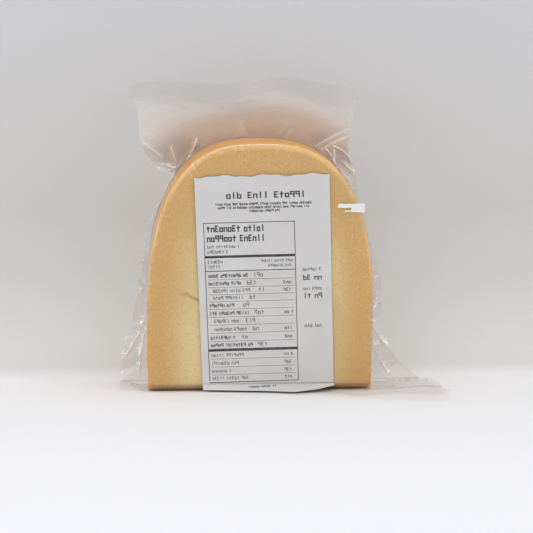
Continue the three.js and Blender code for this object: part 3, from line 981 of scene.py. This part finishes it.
BOX_LEFT, BOX_RIGHT, BOX_TOP, BOX_FOOT = 3.2, 42.4, 20.2, 90.3
for down in (BOX_TOP, BOX_FOOT):
    rule(BOX_LEFT, BOX_RIGHT, down, 0.32)
for left in (BOX_LEFT, BOX_RIGHT):
    marks.append((left - 0.16, BOX_TOP - 0.16, left + 0.16, BOX_FOOT + 0.16))
writing(4.4, 30.6, 22.7, 2.7, 1.9, (7, 9), 0.66)
writing(4.4, 32.4, 26.9, 2.7, 1.9, (6, 8), 0.66)
writing(4.4, 19.0, 30.4, 1.35)
writing(4.4, 14.0, 32.6, 1.35)
rule(BOX_LEFT, BOX_RIGHT, 34.8, 1.1)
writing(4.4, 12.0, 36.9, 1.4, 1.5)
writing(27.5, 41.6, 36.9, 1.1)
writing(4.4, 11.0, 39.0, 1.4, 1.5)
writing(30.5, 41.6, 39.0, 1.1)
rule(BOX_LEFT, BOX_RIGHT, 41.0, 0.35)
table_rows = (
    (43.0, 4.4, 22, 1.6), (46.4, 4.4, 19, 1.5), (49.6, 6.2, 24, 1.0), (52.7, 6.2, 20, 1.0),
    (56.0, 4.4, 17, 1.5), (59.5, 4.4, 22, 1.5), (63.0, 6.2, 18, 1.0), (66.6, 6.2, 21, 1.0),
    (70.3, 4.4, 16, 1.5), (73.6, 4.4, 23, 1.5),
)  # fmt: skip
for down, left, right, boldness in table_rows:
    writing(left, right, down, 1.45, boldness + 0.4)
    writing(right + 2.0, right + 7.0, down - 0.1, 1.9, 1.1, (2, 4))
    rule(BOX_LEFT + 1, BOX_RIGHT - 1, down + 1.72, 0.14)
for down in (46.4, 49.6, 59.5, 66.6, 70.3):
    writing(37.0, 41.4, down, 1.45, 1.5, (2, 3))
rule(BOX_LEFT, BOX_RIGHT, 75.9, 1.1)
for down, right in ((78.1, 19), (81.7, 17), (85.2, 14), (88.4, 21)):
    writing(4.4, right, down, 1.45, 1.2)
    writing(36.4, 41.4, down, 1.45, 1.2, (2, 3))
    if down < 88:
        rule(BOX_LEFT + 1, BOX_RIGHT - 1, down + 1.75, 0.14)
writing(45.6, 54.5, 41.2, 1.35)
writing(45.6, 55.4, 44.7, 2.3, 1.6, (2, 2))
writing(45.6, 53.5, 49.6, 1.35)
writing(45.6, 55.4, 52.7, 2.3, 1.6, (2, 2))
writing(45.8, 55.0, 66.0, 1.5, 1.6)
writing(20.0, 33.0, face_length / PRINT_STRETCH + 3.4, 1.3, 2.2)

PIECE_LENGTH = 1.6  # a long mark is cut into short ones, to follow the paper
mark_places, mark_faces = [], []
for left, high, right, low in marks:
    across_count = max(1, math.ceil((right - left) / PIECE_LENGTH))
    down_count = max(1, math.ceil((low - high) / PIECE_LENGTH))
    x_stops = np.linspace(left, right, across_count + 1) - LABEL_WIDTH / 2
    up_stops = face_length - np.linspace(high, low, down_count + 1) * PRINT_STRETCH
    first = len(mark_places)
    for up_stop in up_stops:
        ups = np.full(len(x_stops), up_stop)
        mark_places.extend(on_label(x_stops, ups, PAPER_THICKNESS + INK_THICKNESS).tolist())
    for i in range(down_count):
        for j in range(across_count):
            a = first + i * (across_count + 1) + j
            mark_faces.append((a, a + across_count + 1, a + across_count + 2, a + 1))
printing_mesh = bpy.data.meshes.new("label_printing")
printing_mesh.from_pydata((np.array(mark_places) * MM).tolist(), [], mark_faces)
printing = bpy.data.objects.new("label_printing", printing_mesh)
bpy.context.collection.objects.link(printing)
start_piece()
modify(printing, "SOLIDIFY", thickness=INK_THICKNESS * MM, offset=0)
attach(printing, "root")
printing.data.materials.append(new_material("thermal_print"))
place = Wire.out("Object", "TexCoord")
ink = Wire.out("Fac", "TexNoise", None, {"Vector": place, "Scale": 900, "Detail": 2})
ink_colour = Wire.mix(ink.between(0.35, 0.75), (0.028, 0.028, 0.032, 1), (0.09, 0.088, 0.095, 1))
print_shader = Wire.node("BsdfPrincipled", None, {"Base Color": ink_colour, "Roughness": 0.5})
surface(Wire(print_shader.outputs[0]))

# ---------------------------------------------------------------------------------------------------------
# The tape tab: a short piece of white tape on the front sheet at the upper right. A strip of it has torn
# away, so a broad end and two narrow tongues are left, and the broad end bends back over the wedge's edge.

TAB_OUT = 0.5
TAB_THICKNESS = 0.14
TAB_LEFT, TAB_RIGHT = 32.9, 45.0
TONGUE_END = 38.7
TAB_FOOT, TAB_TOP = 80.0, 83.6
GAP_FOOT, GAP_TOP = 80.75, 81.85
start_piece()
bpy.ops.mesh.primitive_grid_add(x_subdivisions=60, y_subdivisions=20, size=2)
tab = bpy.context.object
tab.name = "tape_tab_torn"
bpy.ops.object.mode_set(mode="EDIT")
bpy.ops.mesh.select_mode(type="FACE")
bpy.ops.mesh.select_all(action="DESELECT")
shape = bmesh.from_edit_mesh(tab.data)
shape.faces.ensure_lookup_table()
for face in shape.faces:
    x = TAB_LEFT + (face.calc_center_median().x + 1) / 2 * (TAB_RIGHT - TAB_LEFT)
    z = TAB_FOOT + (face.calc_center_median().y + 1) / 2 * (TAB_TOP - TAB_FOOT)
    in_gap = GAP_FOOT < z < GAP_TOP and x < TONGUE_END
    short_tongue = z <= GAP_FOOT and x < TAB_LEFT + 3.1
    rounded = z > TAB_TOP - 0.4 and x < TAB_LEFT + 0.4
    face.select_set(in_gap or short_tongue or rounded)
bmesh.update_edit_mesh(tab.data)
bpy.ops.mesh.delete(type="FACE")
bpy.ops.object.mode_set(mode="OBJECT")
grid = np.array([vertex.co[:2] for vertex in tab.data.vertices])
tab_x = TAB_LEFT + (grid[:, 0] + 1) / 2 * (TAB_RIGHT - TAB_LEFT)
tab_z = TAB_FOOT + (grid[:, 1] + 1) / 2 * (TAB_TOP - TAB_FOOT)
tab_z = tab_z - 0.35 * ramp(tab_x, 39, 45) * ramp(82.2 - tab_z, 0, 2) + 0.06 * np.sin(tab_x * 1.7)
bent_back = np.maximum(tab_x - 42.2, 0)
tab_y = -(tab_z - axis_height) * math.tan(HALF_ANGLE) - TAB_OUT / math.cos(HALF_ANGLE)
tab_y = tab_y + bent_back**2 * 0.16 - 0.05 - 0.05 * np.sin(tab_x * 0.9)
tab_x = tab_x - bent_back**2 * 0.03
move_vertices(tab, np.stack((tab_x, tab_y, tab_z), axis=-1))
bpy.ops.object.mode_set(mode="EDIT")
bpy.ops.mesh.select_all(action="SELECT")
bpy.ops.mesh.normals_make_consistent(inside=False)
bpy.ops.object.mode_set(mode="OBJECT")
if tab.data.polygons[-1].normal.y > 0:
    tab.data.flip_normals()
modify(tab, "SOLIDIFY", thickness=TAB_THICKNESS * MM, offset=1)
bpy.ops.object.shade_smooth_by_angle(angle=math.radians(40))
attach(tab, "root")
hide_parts("tape_tab")
tab.data.materials.append(new_material("white_tape"))
place = Wire.out("Object", "TexCoord")
weave = Wire.out("Fac", "TexNoise", None, {"Vector": place, "Scale": 1500, "Detail": 3})
tape_bump = Wire.out(0, "Bump", None, {"Strength": 0.1, "Distance": 0.0001, "Height": weave})
tape_colour = Wire.mix(weave.between(0.3, 0.7), (0.84, 0.835, 0.82, 1), (0.9, 0.895, 0.88, 1))
tape_shader = Wire.node(
    "BsdfPrincipled",
    None,
    {"Base Color": tape_colour, "Roughness": 0.35, "Normal": tape_bump},
)
surface(Wire(tape_shader.outputs[0]))
